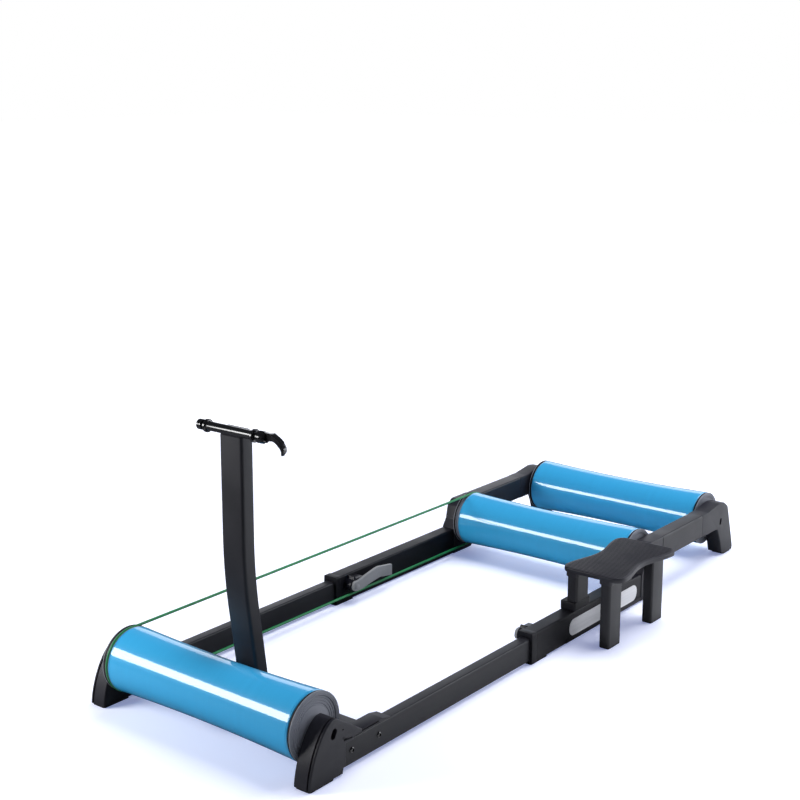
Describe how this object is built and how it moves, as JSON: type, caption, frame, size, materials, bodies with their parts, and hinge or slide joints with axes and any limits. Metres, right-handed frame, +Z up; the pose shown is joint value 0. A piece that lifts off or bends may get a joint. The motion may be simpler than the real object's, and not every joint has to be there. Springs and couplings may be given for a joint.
{
  "type": "bike trainer",
  "caption": "Roller trainer in a telescoping floor frame: belt-linked rollers under the bicycle, a post that holds the fork in place of the front wheel, and a step at the side.",
  "frame": {"origin": "middle of the bounding box, on the floor that the feet stand on", "axes": "+X along the roller axles towards the step, +Y from the fork post towards the rear rollers, +Z up"},
  "size_m": [0.5514, 1.2943, 0.4693],
  "materials": {
    "frame_paint": "satin dark grey paint",
    "moulded_black": "fine moulded texture",
    "sleeve_black": "satin black",
    "drum_blue": "polished blue",
    "cap_grey": "moulded grey",
    "steel": "turned",
    "belt_green": "smooth round belt",
    "lever_grey": "moulded light grey",
    "black_metal": "gloss black",
    "plate_silver": "satin"
  },
  "bodies": {
    "rear_frame": {"sleeve_left": "sleeve_black", "sleeve_right": "sleeve_black", "clamp_block_left": "sleeve_black", "clamp_block_right": "sleeve_black", "middle_upright_left": "moulded_black", "middle_upright_right": "moulded_black", "raised_rail_left": "frame_paint", "raised_rail_right": "frame_paint", "rear_foot_left": "moulded_black", "rear_foot_right": "moulded_black", "middle_axle": "steel", "rear_axle": "steel", "side_plate": "plate_silver", "drive_belt": "belt_green"},
    "front_frame": {"front_foot_left": "moulded_black", "front_foot_right": "moulded_black", "front_rail_left": "frame_paint", "front_rail_right": "frame_paint", "crossbar_bracket_left": "moulded_black", "crossbar_bracket_right": "moulded_black", "rail_screw_front_left": "black_metal", "rail_screw_front_right": "black_metal", "rail_screw_rear_left": "black_metal", "rail_screw_rear_right": "black_metal", "crossbar": "frame_paint", "post": "frame_paint", "post_base": "frame_paint", "fork_tube_saddle": "frame_paint", "fork_tube": "black_metal", "skewer": "steel", "skewer_nut": "black_metal", "front_axle": "steel"},
    "front_roller": {"front_roller_drum": "drum_blue", "front_roller_end_cap_left": "cap_grey", "front_roller_end_cap_right": "cap_grey", "front_roller_bearing_left": "steel", "front_roller_bearing_right": "steel"},
    "middle_roller": {"middle_roller_drum": "drum_blue", "middle_roller_end_cap_left": "cap_grey", "middle_roller_end_cap_right": "cap_grey", "middle_roller_bearing_left": "steel", "middle_roller_bearing_right": "steel"},
    "rear_roller": {"rear_roller_drum": "drum_blue", "rear_roller_end_cap_left": "cap_grey", "rear_roller_end_cap_right": "cap_grey", "rear_roller_bearing_left": "steel", "rear_roller_bearing_right": "steel"},
    "clamp_left": {"clamp_lever_left": "lever_grey", "clamp_screw_left": "steel"},
    "clamp_right": {"clamp_lever_right": "lever_grey", "clamp_screw_right": "steel"},
    "skewer_lever_body": {"skewer_lever": "black_metal"},
    "step": {"step_plate": "moulded_black", "step_inner_leg_front": "frame_paint", "step_inner_leg_rear": "frame_paint", "step_outer_leg_front": "frame_paint", "step_outer_leg_rear": "frame_paint", "step_saddle_front": "moulded_black", "step_saddle_rear": "moulded_black"}
  },
  "joints": [
    {"name": "frame_slide", "type": "slide", "parent": "rear_frame", "child": "front_frame", "axis": [0, -1, 0], "range_m": [-0.08, 0.15], "deforming": ["drive_belt"]},
    {"name": "front_roller_spin", "type": "hinge", "parent": "front_frame", "child": "front_roller", "pos_m": [-0.04473, -0.59175, 0.0705], "axis": [1, 0, 0], "continuous": true},
    {"name": "middle_roller_spin", "type": "hinge", "parent": "rear_frame", "child": "middle_roller", "pos_m": [-0.04473, 0.31285, 0.0707], "axis": [1, 0, 0], "continuous": true},
    {"name": "rear_roller_spin", "type": "hinge", "parent": "rear_frame", "child": "rear_roller", "pos_m": [-0.04473, 0.58775, 0.0755], "axis": [1, 0, 0], "continuous": true},
    {"name": "clamp_lever_left_turn", "type": "hinge", "parent": "rear_frame", "child": "clamp_left", "pos_m": [-0.04473, -0.06025, 0.0345], "axis": [1, 0, 0], "range_deg": [0, 110]},
    {"name": "clamp_lever_right_turn", "type": "hinge", "parent": "rear_frame", "child": "clamp_right", "pos_m": [-0.04473, -0.06025, 0.0345], "axis": [1, 0, 0], "range_deg": [0, 110]},
    {"name": "skewer_lever_turn", "type": "hinge", "parent": "front_frame", "child": "skewer_lever_body", "pos_m": [0.02107, -0.54515, 0.4593], "axis": [0, 1, 0], "range_deg": [-60, 40]},
    {"name": "step_lift", "type": "slide", "parent": "rear_frame", "child": "step", "axis": [0, 0, 1], "range_m": [0, 0.08]}
  ],
  "couplings": [
    {"joint": "front_roller_spin", "follows": "middle_roller_spin", "ratio": 1}
  ]
}
